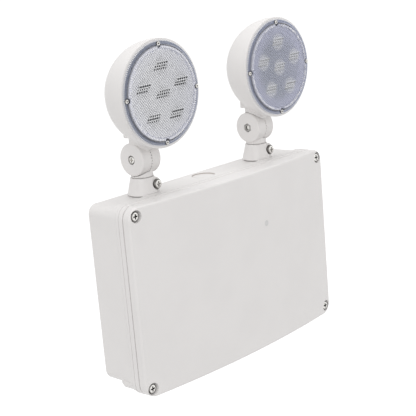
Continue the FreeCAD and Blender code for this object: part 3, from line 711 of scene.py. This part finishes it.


# prisms: painted light and shade by the way each facet faces; each LED a pale patch with a painted
# glint, painted shade and rows of short dark strokes
prismTones = {
    "faceAcross": -1.2,
    "faceUp": 0.5,
    "faceLevel": 0.45,
    "edgeFade": (0.022, 0.032),
    "farFade": (-0.012, 0.036),
    "upperFade": (0.1, 0.3),
    "ledCircle": 0.0218,
    "ledCount": 5,
    "patchWidth": 0.0086,
    "patchHeight": 0.0082,
    "patchFade": (0.35, 1.1),
    "patchTone": (0.95, 0.955, 0.96),
    "strokeWidth": 0.0024,
    "strokeLean": 0.4,
    "strokeShift": 0.05,
    "strokeShare": 0.68,
    "rowHeight": 0.0021,
    "rowShift": 0.045,
    "rowShare": 0.66,
    "coreLean": 0.7,
    "coreWidth": 0.0064,
    "coreRise": 0.0002,
    "coreHeight": 0.0031,
    "upperGlint": 0.4,
    "strokeGlint": 0.6,
    "gapGlintMix": 0.45,
    "strokeTone": (0.003, 0.003, 0.005),
    "alpha": 0.96,
    "roughness": 0.3,
    "specular": 0.2,
    # the left lens is painted much lighter and the right one darker and bluer: lit and shaded copies
    # of one lens
    "left_": {
        "light": (0.985, 0.985, 0.99),
        "dark": (0.08, 0.085, 0.12),
        "far": (0.52, 0.53, 0.60),
        "farMix": 0.3,
        "edge": (0.80, 0.805, 0.89),
        "edgeMix": 0.2,
        "plate": (0.34, 0.35, 0.41),
        "package": (0.24, 0.24, 0.26),
        "packageMix": 0.75,
        "glintMix": 0.6,
        "strokeMix": 1.0,
    },
    "right_": {
        "light": (0.46, 0.48, 0.56),
        "dark": (0.035, 0.045, 0.09),
        "far": (0.52, 0.53, 0.66),
        "farMix": 0.4,
        "edge": (0.52, 0.53, 0.66),
        "edgeMix": 0.6,
        "plate": (0.22, 0.235, 0.31),
        "package": (0.26, 0.27, 0.32),
        "packageMix": 0.45,
        "glintMix": 0.75,
        "strokeMix": 0.6,
    },
}


def ledPatch(dx, dz, t):
    # masks about one LED: its patch, the strokes over it, the strokes in its core, and the core
    wide = dx * dx * (1 / t["patchWidth"] ** 2) + dz * dz * (1 / t["patchHeight"] ** 2)
    patch = 1 - wide.ramp(*t["patchFade"])
    column = (dx - dz * t["strokeLean"] + t["strokeShift"]) * (1 / t["strokeWidth"])
    row = (dz + t["rowShift"]) * (1 / t["rowHeight"])
    stroke = column.maths("FRACT") < t["strokeShare"]
    line = row.maths("FRACT") < t["rowShare"]
    leaning = (dx - dz * t["coreLean"]).maths("ABSOLUTE") < t["coreWidth"]
    core = leaning * ((dz - t["coreRise"]).maths("ABSOLUTE") < t["coreHeight"])
    return patch, patch * stroke * line, stroke * line * core, core


def prismFinish(side, s, t):
    finish = Finish(side + "lensPrisms")
    x, z, reach = fromCentre(finish.split(finish.place()), s["centre"][side])
    across, _, upward = finish.split(finish.node("ShaderNodeTexCoord", out=1))
    own = t[side]
    # painted light and shade: each facet lighter or darker by the way it faces
    facetLight = (across * t["faceAcross"] + upward * t["faceUp"] + t["faceLevel"]).ramp(0.0, 1.0)
    pale = finish.mix(facetLight, own["dark"], own["light"])
    pale = finish.mix(reach.ramp(*t["edgeFade"]) * own["edgeMix"], pale, own["edge"])
    pale = finish.mix(x.ramp(*t["farFade"]) * own["farMix"], pale, own["far"])
    upper = upward.ramp(*t["upperFade"])
    turns = [2 * math.pi * i / t["ledCount"] for i in range(t["ledCount"])]
    spots = [(t["ledCircle"] * math.sin(turn), t["ledCircle"] * math.cos(turn)) for turn in turns]
    masks = [ledPatch(x - px, z - pz, t) for px, pz in [(0.0, 0.0)] + spots]
    halo, strokes, core, gaps = (sum(kind) for kind in zip(*masks))
    # painted glint on the upward facets and strokes of each patch; LED package grey with painted
    # shade on its other facets
    glint = halo * (upper * t["upperGlint"] + strokes * t["strokeGlint"]) * own["glintMix"]
    tone = finish.mix(glint, pale, t["patchTone"])
    tone = finish.mix(halo * (1 - upper) * own["packageMix"], tone, own["package"])
    # painted glint in the gaps between the strokes of each core
    tone = finish.mix(gaps * t["gapGlintMix"], tone, t["patchTone"])
    tone = finish.mix(core * own["strokeMix"], tone, t["strokeTone"])
    return finish.set(Base_Color=tone, Alpha=t["alpha"], Roughness=t["roughness"],
                      Specular_IOR_Level=t["specular"])


ribTones = {
    "edge": (0.97, 0.97, 0.98),
    "rimLight": (0.93, 0.93, 0.94),
    "rimDark": (0.8, 0.8, 0.82),
    "ribGrain": 900.0,
    "plateGrain": 1500.0,
    "fade": (0.45, 0.55),
    "roughness": 0.25,
    "alpha": 0.95,
}


def ribFinish(name, t, light, dark, grain):
    finish = Finish(name)
    fine = finish.noise(finish.place(), grain, 1.0)
    tone = finish.mix(fine.ramp(*t["fade"]), dark, light)
    return finish.set(Base_Color=tone, Roughness=t["roughness"], Alpha=t["alpha"])


def shellProfile(s):
    wallRadius, top, r = s["step"] - s["wall"], s["flangeTop"], s["rounding"]
    grooveIn, grooveOut = s["groove"]
    outer = [
        (wallRadius, s["seat"]),
        (s["flange"], s["seat"]),
        (s["flange"], top - r),
        (s["flange"] - r, top),
        (grooveOut, top),
        (grooveOut - s["grooveTaper"], top - r),
        (grooveIn + s["grooveTaper"], top - r),
        (grooveIn, top),
        (s["step"] + r, top),
        (s["step"] + r / 2, top + r),
        (s["step"], s["stepTop"] - s["stepRounding"]),
    ]
    rise = s["crown"] - s["stepTop"]
    dome = [((s["step"] - s["crownInset"]) * t, s["stepTop"] + rise * (1 - t ** 2))
            for t in s["crownRings"]]
    under = s["stepTop"] - s["wall"]
    inner = [
        (0.0, s["crown"] - s["wall"]),
        (wallRadius - s["innerInset"], under),
        (wallRadius, under - s["innerRounding"]),
    ]
    return outer + dome + inner


def notchedEdge(s):
    # the step keeps clear of each screw by a round notch
    def radiusAt(radius, angle):
        if not s["step"] - s["notchedFrom"] < radius < s["step"] + s["notchedTo"]:
            return radius
        off = (angle + math.pi / 4) % (math.pi / 2) - math.pi / 4
        aside = s["screwCircle"] * math.sin(off)
        if abs(aside) >= s["notch"]:
            return radius
        near = s["screwCircle"] * math.cos(off) - math.sqrt(s["notch"] ** 2 - aside ** 2)
        return min(radius, near + radius - s["step"])

    return radiusAt


def makeLens(side, s):
    centre = s["centre"][side]
    body = side + "lamp_head"
    own = prismTones[side]
    edge = notchedEdge(s)
    shell = spun(side + "lensShell", shellProfile(s), centre, shellFinish(side, s, shellTones),
                 s["steps"], edge)
    smoothByAngle(shell, 30)

    turn = toRoom(centre, s["plate"])
    field = prismField(side + "prismField", s, prismFinish(side, s, prismTones), turn)
    back = s["plate"] - s["plateThickness"]
    disc = [(0.0, back), (s["plateRadius"], back), (s["plateRadius"], s["plate"]),
            (0.0, s["plate"])]
    plate = spun(side + "prismPlate", disc, centre,
                 ribFinish(side + "plateClear", ribTones, own["edge"], own["plate"],
                           ribTones["plateGrain"]), s["steps"], edge)
    ribs = ringOf(side + "edgeRibs", s["edgeRibs"], s["plateRadius"] - s["edgeRibInset"],
                  s["edgeRibSize"],
                  ribFinish(side + "edgeRib", ribTones, ribTones["edge"], own["edge"],
                            ribTones["ribGrain"]),
                  turn, (s["screwCircle"], s["notch"] + s["edgeRibClearance"]))
    rim = ringOf(side + "rimRibs", s["rimRibs"], s["flange"] - s["rimRibInset"], s["rimRibSize"],
                 ribFinish(side + "rimRib", ribTones, ribTones["rimLight"], ribTones["rimDark"],
                           ribTones["ribGrain"]),
                 toRoom(centre, s["flangeTop"] - s["rimRibDrop"]))
    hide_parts(side + "lens")
    for piece in (shell, field, plate, ribs, rim):
        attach(piece, body)


for side in sides:
    makeLens(side, lensSettings)
print("lenses made")
